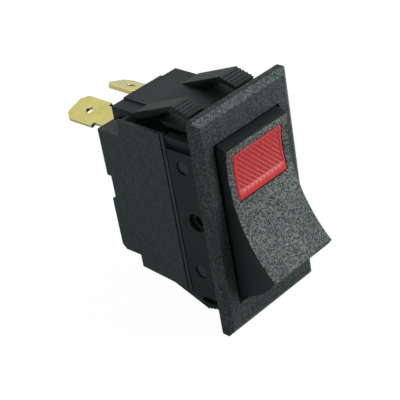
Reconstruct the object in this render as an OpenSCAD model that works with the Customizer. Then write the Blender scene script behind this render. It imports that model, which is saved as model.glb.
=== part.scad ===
// Lighted panel rocker switch, snap-in, with two switch terminals and two lamp terminals.
// X runs across the switch, Y from the panel to the rear, Z up, towards the lamp end.
// The origin is the centre of the panel cut-out, on the back of the bezel.

/* [Panel] */
// Width of the panel cut-out
cutout_w = 21.1; // [20.6:0.1:22]
// Length of the panel cut-out
cutout_l = 36.8; // [36.4:0.1:40]
// Gap between the collar and the edge of the cut-out
panel_fit = 0.1; // [0.05:0.05:0.2]

/* [Bezel] */
// Width of the bezel
bezel_w = 25; // [24:0.5:30]
// Length of the bezel
bezel_l = 45.8; // [45:0.2:54]
// Depth of the bezel's rim
bezel_rim = 1.1; // [0.8:0.1:1.6]
// Draft of the rim, from its back to its front
bezel_draft = 0.15; // [0.05:0.05:0.3]
// Depth of the slope in front of the rim
bezel_rise = 0.85; // [0.4:0.05:1]
// Width of the slope around the front face
bezel_slope = 1.25; // [0.8:0.05:1.8]
// Corner radius of the bezel's outline
bezel_corner = 1.2; // [0.6:0.1:2]
// Width of the window that the rocker stands in
window_w = 17.6; // [17.2:0.1:17.9]
// Length of the window at the front face
window_l = 33.7; // [33:0.1:33.9]

/* [Rocker] */
// Swing of the rocker to each side of the middle, in degrees
half_throw = 15.5; // [12:0.5:15.5]
// Distance of the pivot behind the panel
pivot_y = 4; // [3.8:0.1:4.2]
// Gap between the rocker's side and the window
rocker_side_gap = 0.7; // [0.4:0.05:0.9]
// Gap between the rocker's end and the window
rocker_end_gap = 0.35; // [0.3:0.05:0.6]
// Radius of the hollow paddle face
paddle_r = 28; // [24:1:40]
// Distance from the pivot to the middle of the paddle face
paddle_mid = 9.05; // [8.6:0.05:9.6]
// How far each tip of the paddle stands inside the window's end
tip_inset = 3.85; // [3.4:0.05:4.4]
// Wall thickness of the rocker
rocker_wall = 1.4; // [1:0.1:1.6]
// Radius of the rocker's pivot pins
trunnion_r = 1.85; // [1.6:0.05:2]
// Running clearance around pins and sliding pieces
run_gap = 0.05; // [0.03:0.01:0.08]

/* [Lens] */
// Width of the lens
lens_w = 12.9; // [11:0.1:13.2]
// Height of the lens's lower edge above the rocker's middle
lens_low = 2.6; // [2.5:0.1:4]
// Height of the lens's upper edge above the rocker's middle
lens_high = 11.5; // [10:0.1:11.8]
// Gap around the lens
lens_gap = 0.12; // [0.08:0.02:0.2]
// Width of the flange that holds the lens behind the paddle
lens_flange = 0.5; // [0.4:0.05:0.6]

/* [Snap wings] */
// Distance of a wing's inner side from the middle of the switch
wing_in = 4.3; // [4:0.1:5]
// Distance of the left wings' outer side from the middle of the switch
wing_out = 8.2; // [7.4:0.1:8.4]
// Distance of the right wings' outer side from the middle of the switch
wing_out_right = 9; // [7.4:0.1:9.2]
// Height of a wing's peak above the end plate
wing_rise = 3.8; // [3:0.1:4.2]
// Distance of a wing's peak behind the panel
wing_peak_y = 7.5; // [7:0.1:8.5]
// Distance of a wing's nose behind the panel
wing_nose_y = 3.4; // [3.2:0.1:4.6]
// Distance of a wing's root behind the panel
wing_root_y = 18; // [16:0.5:20]
// Number of grip teeth on a wing
wing_teeth = 5; // [4:1:8]

/* [Frame] */
// Depth of the collar's side walls behind the panel
frame_d = 8.5; // [8.2:0.1:8.6]
// Length over the ends of the side walls
side_l = 34; // [33:0.5:35]
// Depth of the end plates behind the panel
end_plate_d = 24.3; // [22:0.1:25]
// Thickness of the end plates
end_plate_t = 0.9; // [0.7:0.05:1.1]
// Height of the rib around an end plate
end_rib = 3.1; // [2:0.1:3.4]
// Radius of the snap holes in the side walls
snap_hole_r = 1.4; // [1.1:0.05:1.7]
// Distance of the snap holes from the pivot along the switch
snap_z = 11.2; // [10.8:0.1:11.6]
// Distance of the snap holes behind the panel
snap_y = 5.2; // [4.6:0.1:5.6]

/* [Base] */
// Gap between the frame and the base
joint_gap = 0.3; // [0.2:0.05:0.4]
// Width of the raised strip beside the frame
strip_w = 0.8; // [0.5:0.05:1]
// Depth of the side panels behind the panel, at the lamp end
panel_d = 21; // [19:0.5:22]
// The same at the other end
panel_low_d = 22.1; // [21:0.1:23]
// How far the side panels' lower edge rises from the frame to its rear corner
panel_rise = 0.95; // [0:0.05:1.2]
// Depth of the rear block behind the panel
block_d = 27.1; // [25:0.1:28]
// Height of the rear block above the middle of the switch
block_top = 13.6; // [13.4:0.1:13.9]
// Height of the rear block below the middle of the switch
block_low = 13.3; // [12.6:0.1:13.9]
// Wall thickness of the base
base_wall = 1.6; // [1.4:0.1:1.8]
// Thickness of the side panels' free edges
lip_t = 0.8; // [0.6:0.05:1]
// Depth of the shallow step across the rear face
rear_step = 1; // [0.6:0.1:1.4]

/* [Terminals] */
// Width of a terminal blade
blade_w = 6.35; // [4.8:0.05:6.35]
// Thickness of a terminal blade
blade_t = 0.8; // [0.5:0.05:0.8]
// Length of a terminal blade behind its shoulder
blade_l = 7.9; // [7:0.1:8.5]
// Radius of the hole in a terminal blade
blade_hole_r = 0.85; // [0.6:0.05:1]
// Distance of each lamp terminal from the middle of the switch
lamp_blade_x = 5.6; // [5.3:0.1:5.8]
// Height of the lamp terminals above the middle of the switch
lamp_blade_z = 13.1; // [12.8:0.1:13.2]
// Slope of each lamp terminal's blade, in degrees
lamp_blade_tilt = 18; // [12:1:20]
// Length of the narrow neck of a lamp terminal outside the base
lamp_neck = 3.9; // [3:0.1:4.5]

/* [Contacts] */
// Half of the contact arm's length
arm_half = 9.8; // [9.4:0.1:10.2]
// Width of the contact arm
arm_w = 4.6; // [4:0.1:5.2]
// Thickness of the contact arm
arm_t = 0.8; // [0.6:0.05:0.9]
// Distance from the rocker's pivot to the contact arm
arm_reach = 9; // [8.8:0.1:9.4]
// Swing of the contact arm to each side of the middle, in degrees
arm_throw = 6; // [5:0.5:7]
// Radius of the contact buttons
button_r = 1.5; // [1.2:0.1:1.8]
// Thickness of the contact buttons
button_t = 0.9; // [0.7:0.05:1]
// Distance of the contact buttons from the arm's middle
button_z = 8; // [7.6:0.1:8.2]
// Radius of the plunger that presses the contact arm
plunger_r = 1.2; // [1:0.05:1.3]
// Gap between the plunger and the contact arm at the middle
plunger_gap = 0.3; // [0.25:0.05:0.4]
// Gap left between the closed contacts
contact_gap = 0.1; // [0.05:0.05:0.2]
// Turns of the plunger's spring
spring_turns = 6; // [4:1:8]

/* [Lamp] */
// Radius of the lamp's glass tube
lamp_r = 1.6; // [1.3:0.1:1.8]
// Length of the lamp's glass tube
lamp_l = 7.6; // [7:0.1:8]
// Distance of the lamp behind the panel
lamp_y = 3; // [2.8:0.1:3.2]
// Height of the lamp above the middle of the switch
lamp_z = 8.6; // [8.2:0.1:8.8]
// Radius of the lamp's lead wires
lead_r = 0.25; // [0.2:0.05:0.3]

/* [Hidden] */
$fn = 48;

nylon = "#2b2f30";
nylon_rocker = "#34383a";
red_lens = "#c22a2a";
brass_sheet = "#c9b25a";
copper_strip = "#b87446";
silver_contact = "#c8c8c6";
spring_steel = "#9a9ea2";
white_nylon = "#e8e6de";
lamp_glass = "#e9d9c8";
tinned_wire = "#b9bcbe";
resistor_coat = "#b89468";

eps = 0.01;
large = 60;

collar_w = cutout_w - 2 * panel_fit;
collar_l = cutout_l - 2 * panel_fit;
bezel_t = bezel_rim + bezel_rise;
plate_z = collar_l / 2;
cavity_l = collar_l - 2 * end_plate_t;

// snap wings
wing_ramp_z = 1.1;
wing_nose_t = 0.3;
wing_margin = 0.3;
wing_margin_gap = 0.7;
wing_tooth_d = 0.28;
tooth_rake = 0.45;
wing_slit = 0.3;
wing_slot_y = 11.4;
arch_r = 6.6;
arch_centre = [wing_peak_y - 0.4, plate_z + wing_rise - 8];
arch_lean = 22.3;
arch_start = arch_centre + arch_r * [sin(arch_lean), cos(arch_lean)];
arch_end = arch_start + (arch_start[1] - plate_z + end_plate_t) * [1 / tan(arch_lean), -1];
rib_arch_r = 14;

plunger_head_r = plunger_r + 0.4;

// rocker profile, seen from the side with the pivot at the origin and the paddle towards -Y
rocker_w = window_w - 2 * rocker_side_gap;
end_r = window_l / 2 - rocker_end_gap;
tip_z = window_l / 2 - tip_inset;
tip_f = paddle_mid + paddle_r - sqrt(pow(paddle_r, 2) - pow(tip_z, 2));
end_f = tip_f - sqrt(pow(end_r, 2) - pow(tip_z, 2));
skirt_f = 1.2;
hub_r = trunnion_r + 1.3;
trunnion_end = collar_w / 2 - 0.9;
trunnion_bore_r = 1.1;
trunnion_bore_d = 1;
guide_r = plunger_head_r + run_gap + 0.7;
guide_back = 4;
guide_floor = 1.2;
web_half = 0.6;
plunger_head_t = 1.2;
guide_front = 6.4;

plunger_reach = arm_reach - plunger_gap;
spring_bore_r = plunger_head_r + run_gap;
arm_front = pivot_y + arm_reach;
arm_pivot = arm_front + arm_t;
arm_bend = 5;
arm_flat = 1.2;
knife_r = blade_t / 2;

// terminals
blade_inner_w = 4.6;
blade_chamfer = 1.5;
blade_chamfer_w = 1.2;
blade_hole_y = 3.5;
blade_shoulder = block_d + 0.1;
blade_edge_gap = 0.12;
load_z = -(button_z + 2.4);
load_face = contact_back();
foot_y = load_face + button_t + contact_gap;
lamp_blade_inner_w = 2.8;
lamp_blade_front = 13.6;
lamp_blade_step = panel_d + 2.5;

// lamp
clip_t = 0.3;
lead_x = 6.3;
lead_back = 14.4;
lead_top = lamp_blade_z - blade_t / 2 - (lead_x - lamp_blade_x) * tan(lamp_blade_tilt) - 0.02;
resistor_front = 7;
resistor_l = 4.6;
resistor_r = 0.9;

// base
core_l = 27.8;
base_front = frame_d + joint_gap;
groove_y = base_front + strip_w;
groove_w = 0.3;
groove_depth = 0.35;
chamber_w = collar_w - 2 * base_wall;
chamber_l = core_l - 2 * base_wall;
chamber_back = 19.5;
ear_t = 0.75;
ear_w = 4.8;
ear_gap = 0.15;
ear_front = snap_y - 1.9;
block_chamfer = 1.4;
stop_half = 1.6;
seat_half = 7;
seat_rise = 0.8;
stop_front = load_face - button_t + joint_gap;

// Rear face of the closed moving contact.
function contact_back() = arm_pivot - (button_z - arm_flat) * tan(arm_bend)
  + button_z * tan(arm_throw) + button_t;

// Extrudes an outline drawn in Y and Z across the switch, centred on X.
module across(w) {
  rotate([90, 0, 90])
    linear_extrude(w, center = true)
      children();
}

// The same, between two distances from the middle of the switch.
module across_span(span) {
  translate([(span[0] + span[1]) / 2, 0, 0])
    across(span[1] - span[0])
      children();
}

// Extrudes an outline drawn in X and Z rearwards, from y0 to y1.
module rearward(y0, y1) {
  translate([0, y1, 0])
    rotate([90, 0, 0])
      linear_extrude(y1 - y0)
        children();
}

module mirrored_x() {
  children();
  mirror([1, 0, 0]) children();
}

module mirrored_z() {
  children();
  mirror([0, 0, 1]) children();
}

// A block between two corners.
module block(low, high) {
  translate(low)
    cube(high - low);
}

// A round bar along X, centred at [y, z].
module bar_x(y, z, r, x0, x1) {
  translate([x0, y, z])
    rotate([0, 90, 0])
      cylinder(r = r, h = x1 - x0);
}

// A round bar along Y, centred at [x, z].
module bar_y(x, z, r, y0, y1) {
  translate([x, y0, z])
    rotate([-90, 0, 0])
      cylinder(r = r, h = y1 - y0);
}

// A straight stretch of round wire from a to b.
module wire(a, b, r) {
  d = b - a;
  translate(a)
    rotate([0, acos(d[2] / norm(d)), atan2(d[1], d[0])])
      cylinder(r = r, h = norm(d), $fn = 16);
}

module rounded_outline(w, l, r) {
  square([w - 2 * r, l], center = true);
  square([w, l - 2 * r], center = true);
  for (x = [-1, 1], z = [-1, 1])
    translate([x * (w / 2 - r), z * (l / 2 - r)])
      circle(r);
}

// Section of the bezel: the drafted rim, the slope and the front face.
module bezel_section(half) {
  rim = half - bezel_draft;
  face = rim - bezel_slope;
  polygon([
    [0, -half], [-bezel_rim, -rim], [-bezel_t, -face],
    [-bezel_t, face], [-bezel_rim, rim], [0, half]
  ]);
}

module bezel_plate() {
  intersection() {
    across(bezel_w + 1) bezel_section(bezel_l / 2);
    rotate([0, 90, 0])
      across(bezel_l + 1) bezel_section(bezel_w / 2);
    rearward(-bezel_t - 1, 1) rounded_outline(bezel_w, bezel_l, bezel_corner);
  }
}

// Opening for the rocker: it widens behind the front face, where the rocker's ends swing.
module window_cut() {
  half_front = window_l / 2;
  half_back = cavity_l / 2;
  across(window_w)
    polygon([
      [-bezel_t - 1, -half_front], [-bezel_t, -half_front], [0, -half_back],
      [frame_d + 1, -half_back], [frame_d + 1, half_back], [0, half_back],
      [-bezel_t, half_front], [-bezel_t - 1, half_front]
    ]);
}

// One wing in side view: a tapering arm with a toothed ramp. Its arched underside runs
// down through the plate, so that the arm bends at its root.
module wing_outline() {
  peak_z = plate_z + wing_rise;
  nose_z = peak_z - wing_ramp_z;
  ramp = [wing_peak_y - wing_nose_y, wing_ramp_z];
  tooth = ramp / wing_teeth;
  tooth_depth = [ramp[1], -ramp[0]] / norm(ramp) * wing_tooth_d;
  teeth = [
    for (i = [0 : wing_teeth - 1], j = [0, 1])
      [wing_peak_y, peak_z] - tooth * (i + j * tooth_rake) + j * tooth_depth
  ];
  difference() {
    polygon(concat(
      [[wing_root_y, plate_z - end_plate_t], [wing_root_y, plate_z]],
      teeth,
      [[wing_nose_y, nose_z], [wing_nose_y + wing_nose_t, nose_z - wing_nose_t],
        [wing_nose_y + wing_nose_t, plate_z - end_plate_t]]
    ));
    translate(arch_centre)
      circle(arch_r, $fn = 96);
    polygon([arch_centre, arch_start, arch_end, [arch_end[0], arch_centre[1]], [0, arch_centre[1]]]);
  }
}

// Side view of what is cut from the end plate under a wing.
module wing_slot() {
  low = plate_z - end_plate_t - eps;
  polygon([
    [wing_slot_y, plate_z + eps], [wing_slot_y - 1, low],
    [arch_end[0], low], [arch_end[0], plate_z + eps]
  ]);
}

// Side view of an end plate's rib, arched along its free edge.
module rib_outline() {
  inner = plate_z - end_plate_t;
  rib_start = end_plate_d - sqrt(pow(rib_arch_r, 2) - pow(rib_arch_r - end_rib + end_plate_t, 2));
  difference() {
    translate([rib_start, plate_z - end_rib])
      square([end_plate_d - rib_start, end_rib - end_plate_t + eps]);
    translate([rib_start, inner - rib_arch_r])
      circle(rib_arch_r, $fn = 120);
  }
}

module end_plate() {
  rib_t = 1.1;
  difference() {
    block([-wing_out, -eps, plate_z - end_plate_t], [wing_out_right, end_plate_d, plate_z]);
    for (span = [[-wing_out - 1, wing_slit - wing_in], [wing_in - wing_slit, wing_out_right + 1]])
      across_span(span) wing_slot();
  }
  // ribs along both sides and the rear
  for (span = [[-wing_out, rib_t - wing_out], [wing_out_right - rib_t, wing_out_right]])
    across_span(span) rib_outline();
  block(
    [-wing_out, end_plate_d - rib_t, plate_z - end_rib],
    [wing_out_right, end_plate_d, plate_z - end_plate_t + eps]
  );
}

module front_frame() {
  half = collar_w / 2;
  pocket_low = 14.4;
  pocket_depth = 0.8;
  pocket_front = 1;
  outside = 3;
  color(nylon)
    difference() {
      union() {
        bezel_plate();
        // side walls of the collar
        block([-half, -eps, -side_l / 2], [half, frame_d, side_l / 2]);
        // end walls, as wide as the wings
        block([-wing_out, -eps, -plate_z], [wing_out_right, frame_d, plate_z]);
        mirrored_z() {
          end_plate();
          for (span = [[-wing_out, -wing_in], [wing_in, wing_out_right]])
            across_span(span) wing_outline();
        }
      }
      window_cut();
      // low margins behind the wings' roots
      mirrored_z()
        for (span = [
          [-wing_out - 1, -wing_in - wing_margin_gap],
          [wing_in + wing_margin_gap, wing_out_right + 1]
        ])
          block(
            [span[0], wing_root_y, plate_z - wing_margin],
            [span[1], end_plate_d + 1, plate_z + 1]
          );
      // ramped pockets at the lamp end of the side walls
      mirrored_x()
        translate([half - pocket_depth, pocket_front, pocket_low])
          rotate([-90, 0, 0])
            linear_extrude(frame_d)
              polygon([
                [0, 0], [outside, 0], [outside, pocket_low - plate_z],
                [pocket_depth, pocket_low - side_l / 2]
              ]);
      // pivot holes
      bar_x(pivot_y, 0, trunnion_r + run_gap, -half - 1, half + 1);
      // snap holes, and the recesses that take the base's ears
      mirrored_z() {
        bar_x(snap_y, snap_z, snap_hole_r, -half - 1, half + 1);
        mirrored_x()
          block(
            [window_w / 2 - eps, ear_front - ear_gap, snap_z - ear_w / 2 - ear_gap],
            [window_w / 2 + ear_gap + ear_t, frame_d + 1, snap_z + ear_w / 2 + ear_gap]
          );
      }
    }
}

// Side view of the rocker between the paddle face and the plane at f in front of the pivot.
module rocker_outline(inset, f) {
  difference() {
    intersection() {
      translate([-end_f, 0])
        circle(end_r - inset, $fn = 180);
      translate([-large - f, -large])
        square([large, 2 * large]);
    }
    translate([-paddle_mid - paddle_r, 0])
      circle(paddle_r + inset, $fn = 360);
    // what lies beyond the tips
    translate([-large - tip_f - 5, -large])
      square([large + 5, 2 * large]);
  }
}

// Turns what is drawn about the pivot to its place in the frame, lamp end pressed.
module rocker_place() {
  translate([0, pivot_y, 0])
    rotate([-half_throw, 0, 0])
      children();
}

// The lens's outline across the switch and along it, grown by a gap.
module lens_prism(grow, f0, f1) {
  block(
    [-lens_w / 2 - grow, -f1, lens_low - grow],
    [lens_w / 2 + grow, -f0, lens_high + grow]
  );
}

module rocker() {
  inner_w = rocker_w - 2 * rocker_wall;
  hollow_top = paddle_mid - rocker_wall;
  color(nylon_rocker)
    rocker_place()
      difference() {
        union() {
          difference() {
            union() {
              across(rocker_w) rocker_outline(0, skirt_f);
              // hubs that carry the pivot pins
              mirrored_x()
                bar_x(0, 0, hub_r, rocker_w / 2 - rocker_wall, rocker_w / 2);
            }
            across(inner_w) rocker_outline(rocker_wall, -large / 4);
          }
          // pivot pins
          mirrored_x()
            bar_x(0, 0, trunnion_r, rocker_w / 2 - eps, trunnion_end);
          // plunger guide on a cross web
          bar_y(0, 0, guide_r, -hollow_top - web_half, guide_back);
          block(
            [-inner_w / 2 - eps, -hollow_top - web_half, -web_half],
            [inner_w / 2 + eps, -guide_r, web_half]
          );
        }
        // hollow ends of the pivot pins
        mirrored_x()
          bar_x(0, 0, trunnion_bore_r, trunnion_end - trunnion_bore_d, trunnion_end + 1);
        // stepped bore for the plunger and its spring
        bar_y(0, 0, plunger_r + run_gap, -guide_front, guide_back + 1);
        bar_y(0, 0, spring_bore_r, -guide_front, guide_back - guide_floor);
        // opening for the lens
        lens_prism(lens_gap, paddle_mid - rocker_wall - 2, tip_f + 2);
      }
}

module lens() {
  flange_half = min(lens_w / 2 + lens_flange, rocker_w / 2 - rocker_wall - run_gap);
  color(red_lens, 0.85)
    rocker_place()
      union() {
        intersection() {
          across(lens_w) rocker_outline(0, skirt_f);
          lens_prism(0, paddle_mid - rocker_wall - 1, tip_f + 2);
          translate([0, -paddle_mid - paddle_r, 0])
            rotate([0, 90, 0])
              cylinder(r = paddle_r + rocker_wall + 0.3, h = lens_w, center = true, $fn = 360);
        }
        // flange behind the paddle
        intersection() {
          block([-flange_half, -large, lens_low], [flange_half, 0, lens_high + lens_flange]);
          difference() {
            translate([0, -paddle_mid - paddle_r, 0])
              rotate([0, 90, 0])
                cylinder(r = paddle_r + rocker_wall + 0.95, h = large, center = true, $fn = 360);
            translate([0, -paddle_mid - paddle_r, 0])
              rotate([0, 90, 0])
                cylinder(r = paddle_r + rocker_wall + 0.05, h = large + 1, center = true, $fn = 360);
          }
        }
      }
}

module plunger() {
  nose_r = 1;
  color(white_nylon)
    rocker_place() {
      bar_y(0, 0, plunger_r, plunger_head_t - eps, plunger_reach - nose_r);
      translate([0, plunger_reach - nose_r, 0])
        intersection() {
          sphere(plunger_r);
          block([-large, -eps, -large], [large, nose_r, large]);
        }
      bar_y(0, 0, plunger_head_r, 0, plunger_head_t);
    }
}

// Level turns, each stepping up to the next on the opposite side from the last.
module plunger_spring() {
  wire_r = 0.2;
  coil_r = plunger_r - 0.1;
  spring_front = -guide_front + 0.1;
  pitch = (-spring_front - 0.1 - 2 * wire_r) / spring_turns;
  color(spring_steel)
    rocker_place()
      translate([0, spring_front + wire_r, 0])
        rotate([-90, 0, 0])
          for (i = [0 : spring_turns])
            translate([0, 0, i * pitch]) {
              rotate_extrude($fn = 48)
                translate([coil_r, 0])
                  circle(wire_r, $fn = 16);
              if (i < spring_turns)
                rotate([0, 0, 180 * i])
                  translate([coil_r, 0, 0])
                    cylinder(r = wire_r * 0.8, h = pitch, $fn = 16);
            }
}

// A flat strip with a chamfered blade and a round hole, tip towards +Y.
// Each step is the half width and the distance behind the panel where it starts.
module blade_outline(steps, shoulder) {
  tip = shoulder + blade_l;
  half = blade_w / 2;
  right = concat(
    [for (i = [0 : len(steps) - 1]) each [
      [steps[i][0], steps[i][1]],
      [steps[i][0], i < len(steps) - 1 ? steps[i + 1][1] : shoulder]
    ]],
    [[half, shoulder], [half, tip - blade_chamfer], [half - blade_chamfer_w, tip]]
  );
  left = [for (i = [len(right) - 1 : -1 : 0]) [-right[i][0], right[i][1]]];
  difference() {
    polygon(concat(right, left));
    translate([0, shoulder + blade_hole_y])
      circle(blade_hole_r);
  }
}

module terminal_common() {
  color(brass_sheet) {
    translate([0, 0, -blade_t / 2])
      linear_extrude(blade_t)
        blade_outline([[blade_inner_w / 2, arm_pivot]], blade_shoulder);
    // round edge that the contact arm rocks on
    bar_x(arm_pivot, 0, knife_r, -blade_inner_w / 2, blade_inner_w / 2);
  }
}

module terminal_load() {
  color(brass_sheet) {
    translate([0, 0, load_z - blade_t / 2])
      linear_extrude(blade_t)
        blade_outline([[blade_inner_w / 2, foot_y]], blade_shoulder);
    // foot that carries the fixed contact
    block(
      [-blade_inner_w / 2, foot_y, load_z - eps],
      [blade_inner_w / 2, foot_y + blade_t, -(button_z - button_r - 0.1)]
    );
  }
}

// Lamp terminal on the +X side, at its slope.
module lamp_blade_place() {
  translate([lamp_blade_x, 0, lamp_blade_z])
    rotate([0, lamp_blade_tilt, 0])
      children();
}

module lamp_terminal() {
  color(brass_sheet)
    lamp_blade_place()
      translate([0, 0, -blade_t / 2])
        linear_extrude(blade_t)
          blade_outline(
            [[lamp_blade_inner_w / 2, lamp_blade_front], [blade_inner_w / 2, lamp_blade_step]],
            block_d + lamp_neck
          );
}

module terminal_lamp_right() {
  lamp_terminal();
}

module terminal_lamp_left() {
  mirror([1, 0, 0]) lamp_terminal();
}

// The space that a lamp terminal takes in the base, with its gap.
module lamp_blade_slot() {
  g = blade_edge_gap;
  lamp_blade_place()
    translate([0, 0, -blade_t / 2 - g])
      linear_extrude(blade_t + 2 * g) {
        translate([-blade_inner_w / 2 - g, lamp_blade_step - g])
          square([blade_inner_w + 2 * g, block_d]);
        translate([-lamp_blade_inner_w / 2 - g, lamp_blade_front])
          square([lamp_blade_inner_w + 2 * g, block_d]);
      }
}

module base() {
  half = collar_w / 2;
  pocket_half = 1.6;
  step_low = -1.7;
  step_high = 3.5;
  color(nylon)
    difference() {
      union() {
        // chamber
        block([-half, base_front, -core_l / 2], [half, panel_d, core_l / 2]);
        // side panels with free edges at both ends
        for (span = [[-half, lip_t - half], [half - lip_t, half]])
          across_span(span)
            polygon([
              [base_front, -side_l / 2], [base_front, side_l / 2], [panel_d, side_l / 2],
              [panel_d, 0], [panel_low_d, 0], [panel_low_d, panel_rise - side_l / 2]
            ]);
        // raised seat for the lamp terminals, under the end plate
        block(
          [-seat_half, lamp_blade_front - 1, 0],
          [seat_half, end_plate_d - joint_gap, core_l / 2 + seat_rise]
        );
        // rear block
        block([-half, panel_d - eps, -block_low], [half, block_d, block_top]);
        // ears and bosses that snap into the frame
        mirrored_x()
          mirrored_z() {
            block(
              [window_w / 2 + ear_gap / 2, ear_front, snap_z - ear_w / 2],
              [window_w / 2 + ear_gap / 2 + ear_t, base_front + eps, snap_z + ear_w / 2]
            );
            bar_x(snap_y, snap_z, snap_hole_r - run_gap, window_w / 2 + ear_gap, half - 0.35);
          }
      }
      // chamber
      difference() {
        block(
          [-chamber_w / 2, base_front - 1, -chamber_l / 2],
          [chamber_w / 2, chamber_back, chamber_l / 2]
        );
        // post that the arm's free end rests on when the switch is off
        block([-stop_half, stop_front, button_z - 1], [stop_half, large, button_z + 1]);
      }
      // pocket where the lamp's leads meet their terminals
      mirrored_x()
        block(
          [lamp_blade_x - pocket_half, lamp_blade_front - pocket_half / 4, chamber_l / 2 - 1],
          [lamp_blade_x + pocket_half, chamber_back, lamp_blade_z]
        );
      // groove behind the raised strip
      mirrored_x()
        block(
          [half - groove_depth, groove_y, -side_l / 2 - 1],
          [half + 1, groove_y + groove_w, side_l / 2 + 1]
        );
      // shallow step across the rear face
      block([-half - 1, block_d - rear_step, step_low], [half + 1, block_d + 1, step_high]);
      // chamfer along the lower rear edge
      translate([0, block_d, -block_low])
        rotate([45, 0, 0])
          cube([2 * half + 2, block_chamfer, block_chamfer], center = true);
      // slots for the terminals
      for (z = [0, load_z])
        block(
          [-blade_inner_w / 2 - blade_edge_gap, chamber_back - 1, z - blade_t / 2 - blade_edge_gap],
          [blade_inner_w / 2 + blade_edge_gap, block_d + 1, z + blade_t / 2 + blade_edge_gap]
        );
      mirrored_x() lamp_blade_slot();
    }
}

// Moving contact arm, drawn about the knife edge and turned to the closed position.
module arm_place() {
  translate([0, arm_pivot, 0])
    rotate([arm_throw, 0, 0])
      children();
}

module contact_arm() {
  shift = (arm_half - arm_flat) * tan(arm_bend);
  color(copper_strip)
    arm_place()
      difference() {
        across(arm_w)
          polygon([
            [0, -arm_flat], [-shift, -arm_half], [-shift - arm_t, -arm_half],
            [-arm_t, -arm_flat], [-arm_t, arm_flat], [-shift - arm_t, arm_half],
            [-shift, arm_half], [0, arm_flat]
          ]);
        // half-round groove that rides on the common terminal's edge
        bar_x(0, 0, knife_r + run_gap, -large, large);
      }
}

// Turns to the slope of the arm's lower wing, at the contact's height.
module moving_contact() {
  rear = -(button_z - arm_flat) * tan(arm_bend);
  color(silver_contact)
    arm_place()
      translate([0, rear + 0.02, -button_z])
        rotate([-arm_bend, 0, 0])
          bar_y(0, 0, button_r, 0, button_t);
}

module fixed_contact() {
  color(silver_contact)
    bar_y(0, -button_z, button_r, foot_y - button_t, foot_y);
}

module lamp_holder() {
  tray_w = 11.6;
  tray_half = 3.2;
  tray_front = lamp_y + 0.6;
  leg_t = 1.5;
  leg_half = 1.2;
  leg_in = 3.7;
  tray_back = lamp_y + lamp_r + leg_t;
  color(white_nylon)
    difference() {
      union() {
        block(
          [-tray_w / 2, tray_front, lamp_z - tray_half],
          [tray_w / 2, tray_back, lamp_z + tray_half]
        );
        mirrored_x()
          block(
            [leg_in, tray_back - eps, lamp_z - leg_half],
            [leg_in + leg_t, chamber_back, lamp_z + leg_half]
          );
      }
      // trough for the lamp
      bar_x(lamp_y, lamp_z, lamp_r + clip_t, -large, large);
    }
}

module lamp_bulb() {
  half = lamp_l / 2 - lamp_r;
  color(lamp_glass, 0.6) {
    bar_x(lamp_y, lamp_z, lamp_r, -half, half);
    mirrored_x()
      translate([half, lamp_y, lamp_z])
        sphere(lamp_r);
  }
}

// Two spring clips that hold the lamp in its trough.
module lamp_clip() {
  clip_x = 0.8;
  clip_w = 1.2;
  color(spring_steel)
    mirrored_x()
      translate([0, lamp_y, lamp_z])
        rotate([90, 0, 90])
          translate([0, 0, clip_x])
            linear_extrude(clip_w)
              difference() {
                circle(lamp_r + clip_t);
                circle(lamp_r + run_gap);
                translate([-large - lamp_r / 2, -large])
                  square([large, 2 * large]);
              }
}

// Straight stretches with a round bend at each point between them.
module wire_path(points) {
  last = len(points) - 1;
  for (i = [0 : last - 1])
    wire(points[i], points[i + 1], lead_r);
  for (i = [1 : last - 1])
    translate(points[i])
      sphere(lead_r, $fn = 16);
}

module lamp_lead_left() {
  color(tinned_wire)
    wire_path([
      [-lamp_l / 2, lamp_y, lamp_z], [-lead_x, lamp_y, lamp_z],
      [-lead_x, lead_back, lamp_z], [-lead_x, lead_back, lead_top]
    ]);
}

module lamp_lead_right() {
  color(tinned_wire)
    wire_path([
      [lamp_l / 2, lamp_y, lamp_z], [lead_x, lamp_y, lamp_z],
      [lead_x, resistor_front, lamp_z]
    ]);
}

// Resistor body with a cap at each end.
module resistor() {
  color(resistor_coat)
    translate([lead_x, resistor_front, lamp_z])
      rotate([-90, 0, 0]) {
        cylinder(r = resistor_r * 0.85, h = resistor_l);
        for (y = [0, resistor_l * 3 / 4])
          translate([0, 0, y])
            cylinder(r = resistor_r, h = resistor_l / 4);
      }
}

module resistor_lead() {
  color(tinned_wire)
    wire_path([
      [lead_x, resistor_front + resistor_l, lamp_z],
      [lead_x, lead_back, lamp_z], [lead_x, lead_back, lead_top]
    ]);
}

front_frame();
rocker();
lens();
plunger();
plunger_spring();
base();
contact_arm();
moving_contact();
fixed_contact();
terminal_common();
terminal_load();
terminal_lamp_left();
terminal_lamp_right();
lamp_holder();
lamp_bulb();
lamp_lead_left();
lamp_lead_right();
resistor();
resistor_lead();
lamp_clip();
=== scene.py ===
import math

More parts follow.
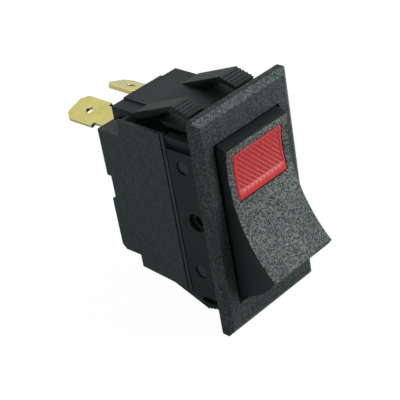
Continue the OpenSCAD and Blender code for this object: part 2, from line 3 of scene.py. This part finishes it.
import bpy
from mathutils import Euler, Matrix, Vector


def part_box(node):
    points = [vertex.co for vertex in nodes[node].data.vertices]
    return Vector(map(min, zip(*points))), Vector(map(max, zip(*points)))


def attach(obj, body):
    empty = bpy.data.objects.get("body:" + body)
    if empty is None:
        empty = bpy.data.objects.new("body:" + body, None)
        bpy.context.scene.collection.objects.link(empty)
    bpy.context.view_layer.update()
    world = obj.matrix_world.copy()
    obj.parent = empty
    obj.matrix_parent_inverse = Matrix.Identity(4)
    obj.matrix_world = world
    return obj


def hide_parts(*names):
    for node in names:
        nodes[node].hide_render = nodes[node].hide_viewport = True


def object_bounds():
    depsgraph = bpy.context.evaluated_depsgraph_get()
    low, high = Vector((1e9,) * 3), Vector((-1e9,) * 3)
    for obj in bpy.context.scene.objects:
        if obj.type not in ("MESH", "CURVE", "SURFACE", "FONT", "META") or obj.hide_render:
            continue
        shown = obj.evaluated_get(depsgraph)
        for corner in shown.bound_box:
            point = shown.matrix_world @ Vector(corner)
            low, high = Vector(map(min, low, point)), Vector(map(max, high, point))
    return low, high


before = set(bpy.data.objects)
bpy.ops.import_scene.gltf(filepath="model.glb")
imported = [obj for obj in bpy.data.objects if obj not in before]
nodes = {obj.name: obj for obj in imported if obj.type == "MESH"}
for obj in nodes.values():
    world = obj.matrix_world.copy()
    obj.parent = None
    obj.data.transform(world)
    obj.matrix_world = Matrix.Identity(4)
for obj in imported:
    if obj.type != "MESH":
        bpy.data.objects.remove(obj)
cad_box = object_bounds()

# Front frame: bezel, collar, end plates and snap wings in one piece of black nylon 66.
# Injection moulded in a spark-eroded tool, so that its faces have a fine, even grain.
MM = 0.001
MIX_A, MIX_B, MIX_RESULT = 6, 7, 2  # a Mix node's colour sockets have no names of their own
BEVEL_SAMPLES = 6


def linear(code):
    """Turns an sRGB hex colour to the linear values that a socket takes."""
    parts = [int(code[i:i + 2], 16) / 255 for i in (1, 3, 5)]
    return (*(v / 12.92 if v <= 0.04045 else ((v + 0.055) / 1.055) ** 2.4 for v in parts), 1)


def add(tree, kind, sockets=None, **settings):
    """Adds a node; a socket is given a value, or another node's output to link."""
    made = tree.nodes.new("ShaderNode" + kind)
    for name, value in settings.items():
        setattr(made, name, value)
    for name, value in (sockets or {}).items():
        if isinstance(value, bpy.types.NodeSocket):
            tree.links.new(value, made.inputs[name])
        else:
            made.inputs[name].default_value = value
    return made


def fresh_material(name):
    """A new material with an empty tree, and its own coordinates to place textures by."""
    material = bpy.data.materials.new(name)
    material.use_nodes = True
    tree = material.node_tree
    tree.nodes.clear()
    return material, tree, add(tree, "TexCoord").outputs["Object"]


def moulded_nylon(name, dark, glint_colour, worn_and_highlit, grain, depth, gloss, rough, edge, eroded=None):
    """Moulded nylon: a pitted skin with painted sparkle, pale dots in patches on its crater tops,
    and edges rounded and rubbed paler, partly a painted highlight.

    The grain, the depth of its pits and the edge's radius are in millimetres. Where eroded is
    given, it adds nodes that tell the eroded faces, 1, from the plain ones, 0.
    """
    material, tree, place = fresh_material(name)
    patches = add(tree, "TexNoise", {"Vector": place, "Scale": 1 / (7 * MM), "Detail": 3})
    speckle = add(tree, "TexNoise", {
        "Vector": place, "Scale": 1 / (grain * MM), "Detail": 2, "Roughness": 0.7
    })
    craters = add(tree, "TexVoronoi", {"Vector": place, "Scale": 1 / (1.2 * grain * MM)})
    chance = add(tree, "SeparateXYZ", {"Vector": craters.outputs["Color"]}).outputs["X"]
    relief = add(tree, "Math", {
        0: speckle.outputs["Fac"], 1: craters.outputs["Distance"]
    }, operation="ADD")
    rounded = add(tree, "Bevel", {"Radius": edge * MM}, samples=BEVEL_SAMPLES)
    face = add(tree, "NewGeometry").outputs["Normal"]
    turn = add(tree, "VectorMath", {
        0: rounded.outputs["Normal"], 1: face
    }, operation="DOT_PRODUCT")
    rim = add(tree, "MapRange", {
        "Value": turn.outputs["Value"], "From Min": 0.99, "From Max": 0.8
    })
    # Painted sparkle: the crater tops take a paler colour that stands in for glints off the eroded
    # facets.
    bright = add(tree, "Math", {0: speckle.outputs["Fac"], 1: chance}, operation="MULTIPLY")
    glint_tops = add(tree, "MapRange", {
        "Value": bright.outputs["Value"], "From Min": 0.1, "From Max": 0.5
    }).outputs["Result"]
    where = eroded(tree, place) if eroded else None
    if where:
        glint_tops = add(tree, "Math", {0: glint_tops, 1: where}, operation="MULTIPLY").outputs["Value"]
        height = add(tree, "Math", {
            0: relief.outputs["Value"], 1: where
        }, operation="MULTIPLY").outputs["Value"]
    else:
        height = relief.outputs["Value"]
    # Painted highlight: rounded edges at the crater tops take the paler third colour, partly rubbed
    # wear and partly the light that the rounding catches.
    wear_and_highlight = add(tree, "Math", {0: rim.outputs["Result"], 1: glint_tops}, operation="MULTIPLY")
    patchy_glints = add(tree, "Math", {0: patches.outputs["Fac"], 1: glint_tops}, operation="MULTIPLY")
    shade = add(tree, "Mix", {
        "Factor": patchy_glints.outputs["Value"], MIX_A: linear(dark), MIX_B: linear(glint_colour)
    }, data_type="RGBA")
    colour = add(tree, "Mix", {
        "Factor": wear_and_highlight.outputs["Value"], MIX_A: shade.outputs[MIX_RESULT], MIX_B: linear(worn_and_highlit)
    }, data_type="RGBA")
    roughness = add(tree, "MapRange", {
        "Value": glint_tops, "To Min": rough + 0.15, "To Max": rough - 0.1
    })
    skin = add(tree, "Bump", {
        "Height": height, "Distance": depth * MM, "Strength": 1,
        "Normal": rounded.outputs["Normal"]
    })
    surface = add(tree, "BsdfPrincipled", {
        "Base Color": colour.outputs[MIX_RESULT], "Roughness": roughness.outputs["Result"],
        "IOR": 1.53, "Specular IOR Level": gloss, "Specular Tint": linear("#e2fafa"),
        "Normal": skin.outputs["Normal"]
    })
    add(tree, "OutputMaterial", {"Surface": surface.outputs["BSDF"]})
    return material


def dress(names, material):
    """Gives each CAD node its one material."""
    for name in names:
        slots = nodes[name].data.materials
        slots.clear()
        slots.append(material)


WELD_GAP = 0.002
ON_FACE = 0.01


def round_edges(name, width, chosen, least=25):
    """Rounds a CAD node's outer edges: those that bend by the least angle and pass the test."""
    mesh = nodes[name].data
    corner_at = [tuple(round(c / MM, 3) for c in v.co) for v in mesh.vertices]
    beside = {}
    for face in mesh.polygons:
        corners = [corner_at[i] for i in face.vertices]
        for a, b in zip(corners, corners[1:] + corners[:1]):
            beside.setdefault(frozenset((a, b)), []).append(face.normal.copy())
    weights = mesh.attributes.new("bevel_weight_edge", "FLOAT", "EDGE")
    for edge in mesh.edges:
        a, b = (corner_at[i] for i in edge.vertices)
        sides = beside.get(frozenset((a, b)), [])
        if len(sides) == 2 and math.degrees(sides[0].angle(sides[1], 0)) > least:
            outer = chosen(Vector(a)) and chosen(Vector(b))
            weights.data[edge.index].value = outer
            edge.use_edge_sharp = not outer
    if "custom_normal" in mesh.attributes:
        mesh.attributes.remove(mesh.attributes["custom_normal"])
    mesh.shade_smooth()
    weld = nodes[name].modifiers.new("joined", "WELD")
    weld.merge_threshold = WELD_GAP * MM
    bevel = nodes[name].modifiers.new("rounded", "BEVEL")
    bevel.limit_method = "WEIGHT"
    bevel.width = width * MM
    bevel.segments = 3
    bevel.harden_normals = True


BEZEL_ROUND = 0.3
BEZEL_INSIDE_X, BEZEL_INSIDE_Z = 9.5, 18
BEZEL_BACK = 0.1
round_edges("front_frame", BEZEL_ROUND, lambda p: p.y <= 0 and (
    abs(p.x) > BEZEL_INSIDE_X or abs(p.z) > BEZEL_INSIDE_Z
))


def bezel_faces(tree, place):
    """Only the bezel is eroded; the collar and the wings behind the panel are plain."""
    behind = add(tree, "SeparateXYZ", {"Vector": place}).outputs["Y"]
    return add(tree, "Math", {
        0: behind, 1: BEZEL_BACK * MM
    }, operation="LESS_THAN").outputs["Value"]


# grain about 0.2 mm across, a deep spark-eroded finish
# The second colour is the painted sparkle on the crater tops; the third is edge wear with a painted
# highlight.
frame_nylon = moulded_nylon(
    "spark_eroded_black_nylon", "#080c0c", "#3c4443", "#4b5453", 0.22, 0.05, 0.22, 0.4, 0.08,
    bezel_faces
)
dress(["front_frame"], frame_nylon)

# Terminal base: black nylon housing for the contacts, snapped into the frame with its ears.
# Its tool was stoned and not eroded, so that it is smoother and a little greyer than the bezel.
# The second colour is the painted sparkle on the crater tops; the third is edge wear with a painted
# highlight.
base_nylon = moulded_nylon(
    "smooth_black_nylon", "#1b2323", "#2b3636", "#4d5856", 0.4, 0.004, 0.22, 0.42, 0.12
)
dress(["base"], base_nylon)
BASE_ROUND = 0.18
base_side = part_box("base")[1].x / MM
round_edges("base", BASE_ROUND, lambda p: abs(abs(p.x) - base_side) < ON_FACE)

# Switch and lamp terminals: quick-connect blades blanked from 0.8 mm brass sheet.
# Rolled faces carry fine lines along the blade; the sheared edges are bright.

def sheet_metal(name, shade, bright, stain, rough, line, edge):
    """Rolled or drawn metal: fine lines along Y, clouds of tarnish, and bright sheared edges.

    The lines' spacing and the edge's radius are in millimetres.
    """
    material, tree, place = fresh_material(name)
    drawn = add(tree, "VectorMath", {0: place, 1: (1, 0.04, 1)}, operation="MULTIPLY")
    lines = add(tree, "TexNoise", {
        "Vector": drawn.outputs["Vector"], "Scale": 1 / (line * MM), "Detail": 4
    })
    clouds = add(tree, "TexNoise", {
        "Vector": place, "Scale": 1 / (3 * MM), "Detail": 5, "Roughness": 0.65
    })
    tarnish = add(tree, "MapRange", {
        "Value": clouds.outputs["Fac"], "From Min": 0.42, "From Max": 0.68
    })
    rounded = add(tree, "Bevel", {"Radius": edge * MM}, samples=BEVEL_SAMPLES)
    face = add(tree, "NewGeometry").outputs["Normal"]
    turn = add(tree, "VectorMath", {
        0: rounded.outputs["Normal"], 1: face
    }, operation="DOT_PRODUCT")
    rim = add(tree, "MapRange", {
        "Value": turn.outputs["Value"], "From Min": 0.99, "From Max": 0.85
    })
    aged = add(tree, "Mix", {
        "Factor": tarnish.outputs["Result"], MIX_A: linear(shade), MIX_B: linear(stain)
    }, data_type="RGBA")
    colour = add(tree, "Mix", {
        "Factor": rim.outputs["Result"], MIX_A: aged.outputs[MIX_RESULT], MIX_B: linear(bright)
    }, data_type="RGBA")
    roughness = add(tree, "MapRange", {
        "Value": lines.outputs["Fac"], "From Min": 0.3, "From Max": 0.7,
        "To Min": rough - 0.06, "To Max": rough + 0.08
    })
    skin = add(tree, "Bump", {
        "Height": lines.outputs["Fac"], "Distance": 0.004 * MM, "Strength": 1,
        "Normal": rounded.outputs["Normal"]
    })
    surface = add(tree, "BsdfPrincipled", {
        "Base Color": colour.outputs[MIX_RESULT], "Metallic": 1,
        "Roughness": roughness.outputs["Result"], "Normal": skin.outputs["Normal"]
    })
    add(tree, "OutputMaterial", {"Surface": surface.outputs["BSDF"]})
    return material


brass = sheet_metal("rolled_brass_sheet", "#cfc67c", "#fbf6d0", "#c2b96e", 0.3, 0.12, 0.12)
dress(["terminal_common", "terminal_load", "terminal_lamp_left", "terminal_lamp_right"], brass)

# Contact arm: see-saw strip of hard copper alloy, blanked and bent over the terminal's edge.
# It is pinker than the brass and slightly dulled by handling.
copper = sheet_metal("rolled_copper_alloy_strip", "#c07a50", "#e5a988", "#8f5638", 0.36, 0.15, 0.08)
dress(["contact_arm"], copper)

# Contact buttons: silver alloy, headed from wire, with a dull yellowish tarnish.
silver = sheet_metal("headed_silver_alloy", "#cfcfcb", "#f0f0ee", "#a8a496", 0.28, 0.2, 0.12)
dress(["moving_contact", "fixed_contact"], silver)

# Plunger spring and lamp clips: drawn spring steel, bright with lengthwise die lines.
spring_steel = sheet_metal("drawn_spring_steel", "#9a9ea2", "#d0d3d6", "#7c8084", 0.3, 0.08, 0.05)
dress(["plunger_spring", "lamp_clip"], spring_steel)

# Lamp and resistor leads: copper wire dipped in tin, soft grey and slightly uneven.
tinned = sheet_metal("tin_dipped_wire", "#b9bcbe", "#dcdee0", "#96999b", 0.38, 0.1, 0.05)
dress(["lamp_lead_left", "lamp_lead_right", "resistor_lead"], tinned)

# Plunger and lamp holder: natural nylon, moulded without grain, milky and faintly yellow.
# The second colour is the painted sparkle on the crater tops; the third is edge wear with a painted
# highlight.
natural_nylon = moulded_nylon(
    "natural_nylon", "#dedacc", "#ece9dd", "#f3f1ea", 0.4, 0.004, 0.5, 0.4, 0.1
)
dress(["plunger", "lamp_holder"], natural_nylon)

# Resistor: ceramic rod with a buff lacquer coat and four generic colour bands around it.
lacquer, tree, place = fresh_material("buff_lacquer_with_bands")
low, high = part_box("resistor")
length = high.y - low.y
along = add(tree, "SeparateXYZ", {"Vector": place}).outputs["Y"]
coat = add(tree, "TexNoise", {"Vector": place, "Scale": 1 / (0.8 * MM), "Detail": 3})
colour = add(tree, "Mix", {
    "Factor": coat.outputs["Fac"], MIX_A: linear("#b08c60"), MIX_B: linear("#c6a378")
}, data_type="RGBA").outputs[MIX_RESULT]
BAND = 0.32 * MM
BANDS = ((0.16, "#7a3b1e"), (0.38, "#22201f"), (0.54, "#d8a52a"), (0.84, "#b08a3c"))
for part, band in BANDS:
    gap = add(tree, "Math", {0: along, 1: low.y + part * length}, operation="SUBTRACT")
    away = add(tree, "Math", {0: gap.outputs["Value"]}, operation="ABSOLUTE")
    inside = add(tree, "Math", {0: away.outputs["Value"], 1: BAND / 2}, operation="LESS_THAN")
    colour = add(tree, "Mix", {
        "Factor": inside.outputs["Value"], MIX_A: colour, MIX_B: linear(band)
    }, data_type="RGBA").outputs[MIX_RESULT]
skin = add(tree, "Bump", {"Height": coat.outputs["Fac"], "Distance": 0.02 * MM, "Strength": 1})
surface = add(tree, "BsdfPrincipled", {
    "Base Color": colour, "Roughness": 0.35, "IOR": 1.5, "Normal": skin.outputs["Normal"]
})
add(tree, "OutputMaterial", {"Surface": surface.outputs["BSDF"]})
dress(["resistor"], lacquer)

# Lamp: sealed tube of clear soda-lime glass, slightly uneven where the flame closed its ends.
bulb_glass, tree, place = fresh_material("blown_soda_lime_glass")
ripple = add(tree, "TexNoise", {"Vector": place, "Scale": 1 / (1.5 * MM), "Detail": 2})
tint = add(tree, "Mix", {
    "Factor": ripple.outputs["Fac"], MIX_A: linear("#f4e6da"), MIX_B: linear("#ffffff")
}, data_type="RGBA")
skin = add(tree, "Bump", {"Height": ripple.outputs["Fac"], "Distance": 0.03 * MM, "Strength": 1})
surface = add(tree, "BsdfPrincipled", {
    "Base Color": tint.outputs[MIX_RESULT], "Roughness": 0.05, "IOR": 1.52,
    "Transmission Weight": 0.85, "Normal": skin.outputs["Normal"]
})
add(tree, "OutputMaterial", {"Surface": surface.outputs["BSDF"]})
dress(["lamp_bulb"], bulb_glass)

# Rocker: black nylon 66 like the frame's, from a more deeply eroded tool.
# Its coarse grain sparkles where the light grazes the hollow paddle; the sparkle is painted, as
# pale dots on the crater tops.
PIVOT = Vector((0, 4, 0))
TURN = math.radians(15.5)
PADDLE_R, PADDLE_MID = 28, 9.05
PADDLE_SKIN = 0.15
ROCKER_HALF, ROCKER_ROUND, HUB_CLEAR, TIP_AHEAD = 8.1, 0.35, 4.5, 2


def paddle_face(tree, place):
    """Only the hollow paddle is eroded; the sides and ends slide in the window and are plain."""
    reach = PADDLE_MID + PADDLE_R
    axis = (0, (PIVOT.y - reach * math.cos(TURN)) * MM, reach * math.sin(TURN) * MM)
    flat = add(tree, "VectorMath", {0: place, 1: (0, 1, 1)}, operation="MULTIPLY")
    from_axis = add(tree, "VectorMath", {
        0: flat.outputs["Vector"], 1: axis
    }, operation="DISTANCE")
    return add(tree, "Math", {
        0: from_axis.outputs["Value"], 1: (PADDLE_R + PADDLE_SKIN) * MM
    }, operation="LESS_THAN").outputs["Value"]


# The second colour is the painted sparkle on the crater tops; the third is edge wear with a painted
# highlight.
rocker_nylon = moulded_nylon(
    "coarse_eroded_black_nylon", "#050707", "#747976", "#7a807d", 0.22, 0.08, 0.26, 0.38, 0.12,
    paddle_face
)
dress(["rocker"], rocker_nylon)


def on_paddle_rim(p):
    """Whether a point in millimetres is on a side edge of the rocker or on a paddle tip."""
    y, z = p.y - PIVOT.y, p.z
    ahead = -(y * math.cos(TURN) - z * math.sin(TURN))
    along = y * math.sin(TURN) + z * math.cos(TURN)
    at_side = abs(abs(p.x) - ROCKER_HALF) < ON_FACE and math.hypot(ahead, along) > HUB_CLEAR
    return at_side and ahead > TIP_AHEAD


round_edges("rocker", ROCKER_ROUND, on_paddle_rim)

# Lens: red polycarbonate, moulded with a field of small pyramids that spread the lamp's light.
# It snaps into the rocker's window from inside; its margins and sides are plain and polished.
LENS_HALF, LENS_LOW, LENS_HIGH = 6.45, 2.6, 11.5
FIELD_HALF, FIELD_LOW, FIELD_HIGH = 5.85, 4.3, 11.3
COLUMNS, ROWS = 11, 6.5  # pyramids
ACROSS_STEPS, ALONG_STEPS = 66, 52
PRISM_DEPTH = 0.2
LENS_DEPTH = 1.7
LENS_ROUND = 0.15


def rocker_point(x, f, z):
    """A point f in front of the pivot and z along the rocker, in the frame's metres."""
    y = -f
    return (Vector((
        x, y * math.cos(TURN) + z * math.sin(TURN), z * math.cos(TURN) - y * math.sin(TURN)
    )) + PIVOT) * MM


def prism_drop(x, z):
    """Depth of the relief below the lens's face."""
    if abs(x) >= FIELD_HALF or not FIELD_LOW < z < FIELD_HIGH:
        return 0
    u = (x + FIELD_HALF) / (2 * FIELD_HALF) * COLUMNS
    v = (z - FIELD_LOW) / (FIELD_HIGH - FIELD_LOW) * ROWS
    return PRISM_DEPTH * (1 - abs(math.sin(math.pi * (u + v)) * math.sin(math.pi * (u - v))))


def spread(start, stop, parts):
    """The ends and the even divisions between them."""
    return [start + (stop - start) * i / parts for i in range(parts + 1)]


xs = [-LENS_HALF, LENS_ROUND - LENS_HALF]
xs += spread(-FIELD_HALF, FIELD_HALF, ACROSS_STEPS) + [LENS_HALF - LENS_ROUND, LENS_HALF]
zs = [LENS_LOW, LENS_LOW + LENS_ROUND]
zs += spread(FIELD_LOW, FIELD_HIGH, ALONG_STEPS) + [LENS_HIGH - LENS_ROUND / 2, LENS_HIGH]
points, faces, relief = [], [], []
for back in (False, True):
    for j, z in enumerate(zs):
        for i, x in enumerate(xs):
            f = PADDLE_MID + PADDLE_R - math.sqrt(PADDLE_R ** 2 - z ** 2)
            at_rim = i in (0, len(xs) - 1) or j in (0, len(zs) - 1)
            drop = LENS_DEPTH if back else LENS_ROUND * at_rim + prism_drop(x, z)
            points.append(rocker_point(x, f - drop, z))
            relief.append(0 if back else prism_drop(x, z) / PRISM_DEPTH)
wide, high_rows = len(xs), len(zs)
layer = wide * high_rows
for j in range(high_rows - 1):
    for i in range(wide - 1):
        a = j * wide + i
        faces.append((a, a + 1, a + wide + 1, a + wide))
        faces.append((layer + a, layer + a + wide, layer + a + wide + 1, layer + a + 1))
for i in range(wide - 1):
    top = (high_rows - 1) * wide + i
    faces.append((i, layer + i, layer + i + 1, i + 1))
    faces.append((top, top + 1, layer + top + 1, layer + top))
for j in range(high_rows - 1):
    a, b = j * wide, j * wide + wide - 1
    faces.append((a, a + wide, layer + a + wide, layer + a))
    faces.append((b, layer + b, layer + b + wide, b + wide))
mesh = bpy.data.meshes.new("prism_lens")
mesh.from_pydata(points, [], faces)
mesh.validate()
mesh.shade_smooth()
mesh.attributes.new("relief", "FLOAT", "POINT").data.foreach_set("value", relief)
lens = bpy.data.objects.new("prism_lens", mesh)
bpy.context.scene.collection.objects.link(lens)

polycarbonate, tree, place = fresh_material("red_polycarbonate")
depth = add(tree, "TexNoise", {"Vector": place, "Scale": 1 / (4 * MM), "Detail": 2})
haze = add(tree, "TexNoise", {"Vector": place, "Scale": 1 / (0.3 * MM), "Detail": 3})
red = add(tree, "Mix", {
    "Factor": depth.outputs["Fac"], MIX_A: linear("#9c0c0c"), MIX_B: linear("#bc1a1a")
}, data_type="RGBA")
# Painted shade: the valleys between the pyramids, where the relief is deepest, are coloured a
# darker red.
painted_valley_shade = add(tree, "Attribute", attribute_name="relief")
red = add(tree, "Mix", {
    "Factor": painted_valley_shade.outputs["Fac"], MIX_A: red.outputs[MIX_RESULT], MIX_B: linear("#8a080a")
}, data_type="RGBA")
roughness = add(tree, "MapRange", {"Value": haze.outputs["Fac"], "To Min": 0.4, "To Max": 0.55})
skin = add(tree, "Bump", {"Height": haze.outputs["Fac"], "Distance": 0.006 * MM, "Strength": 1})
surface = add(tree, "BsdfPrincipled", {
    "Base Color": red.outputs[MIX_RESULT], "Roughness": roughness.outputs["Result"], "IOR": 1.58,
    "Specular IOR Level": 0.25, "Transmission Weight": 0.2,
    "Normal": skin.outputs["Normal"]
})
add(tree, "OutputMaterial", {"Surface": surface.outputs["BSDF"]})
mesh.materials.append(polycarbonate)
dress(["lens"], polycarbonate)
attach(lens, "rocker")
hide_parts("lens")

# Studio: a pale sweep under the switch, open white surroundings and two soft lamps.
# The key lamp is large and low at the front right; the fill is low on the left.
FLOOR_HALF, FLOOR_GAP = 1.5, 0.0001
low, high = cad_box
floor_mesh = bpy.data.meshes.new("pale_floor")
floor_corners = [
    (x * FLOOR_HALF, y * FLOOR_HALF, low[2] - FLOOR_GAP)
    for x, y in ((-1, -1), (1, -1), (1, 1), (-1, 1))
]
floor_mesh.from_pydata(floor_corners, [], [(0, 1, 2, 3)])
floor = bpy.data.objects.new("pale_floor", floor_mesh)
bpy.context.scene.collection.objects.link(floor)
paper, tree, place = fresh_material("matt_white_paper")
fibres = add(tree, "TexNoise", {"Vector": place, "Scale": 1 / (0.5 * MM), "Detail": 3})
white = add(tree, "Mix", {
    "Factor": fibres.outputs["Fac"], MIX_A: linear("#fafafa"), MIX_B: linear("#ffffff")
}, data_type="RGBA")
sheet = add(tree, "BsdfDiffuse", {"Color": white.outputs[MIX_RESULT]})
glow = add(tree, "Emission", {"Color": linear("#ffffff"), "Strength": 1.05})
seen = add(tree, "Math", {
    0: add(tree, "LightPath").outputs["Is Camera Ray"], 1: 0.92
}, operation="MULTIPLY")
blended = add(tree, "MixShader", {
    0: seen.outputs["Value"], 1: sheet.outputs["BSDF"], 2: glow.outputs["Emission"]
})
add(tree, "OutputMaterial", {"Surface": blended.outputs["Shader"]})
floor_mesh.materials.append(paper)

world = bpy.data.worlds.new("white_surroundings")
bpy.context.scene.world = world
world.use_nodes = True
tree = world.node_tree
tree.nodes.clear()
rays = add(tree, "LightPath").outputs
mirrored = add(tree, "Math", {
    0: rays["Is Glossy Ray"], 1: rays["Is Transmission Ray"]
}, operation="ADD")
shown = add(tree, "Math", {
    0: rays["Is Camera Ray"], 1: mirrored.outputs["Value"]
}, operation="ADD", use_clamp=True)
strength = add(tree, "MapRange", {"Value": shown.outputs["Value"], "To Min": 0.25, "To Max": 1})
sky = add(tree, "Background", {"Color": linear("#ffffff"), "Strength": strength.outputs["Result"]})
add(tree, "OutputWorld", {"Surface": sky.outputs["Background"]})

aim = Vector((low[i] + high[i] for i in range(3))) / 2
for name, direction, distance, size, power in (
    ("key_softbox", (0.59, -0.74, 0.30), 0.5, 0.26, 3),
    ("fill_softbox", (-0.95, -0.25, 0.12), 0.6, 0.4, 2.2),
):
    lamp = bpy.data.lights.new(name, "AREA")
    lamp.shape = "SQUARE"
    lamp.size = size
    lamp.energy = power
    holder = bpy.data.objects.new(name, lamp)
    bpy.context.scene.collection.objects.link(holder)
    holder.location = aim + Vector(direction).normalized() * distance
    holder.rotation_euler = (aim - holder.location).to_track_quat("-Z", "Y").to_euler()

# Camera: a long lens well away from the switch, above it and to its left, rolled a little.
camera = bpy.data.cameras.new("camera")
camera.lens = 115.8
camera.sensor_width = 36
viewer = bpy.data.objects.new("camera", camera)
bpy.context.scene.collection.objects.link(viewer)
viewer.location = Vector((-139.83, -145.13, 123.08)) * MM
viewer.rotation_euler = Euler([math.radians(a) for a in (58.650, 8.791, -46.650)])
bpy.context.scene.camera = viewer
bpy.context.scene.view_settings.view_transform = "Standard"
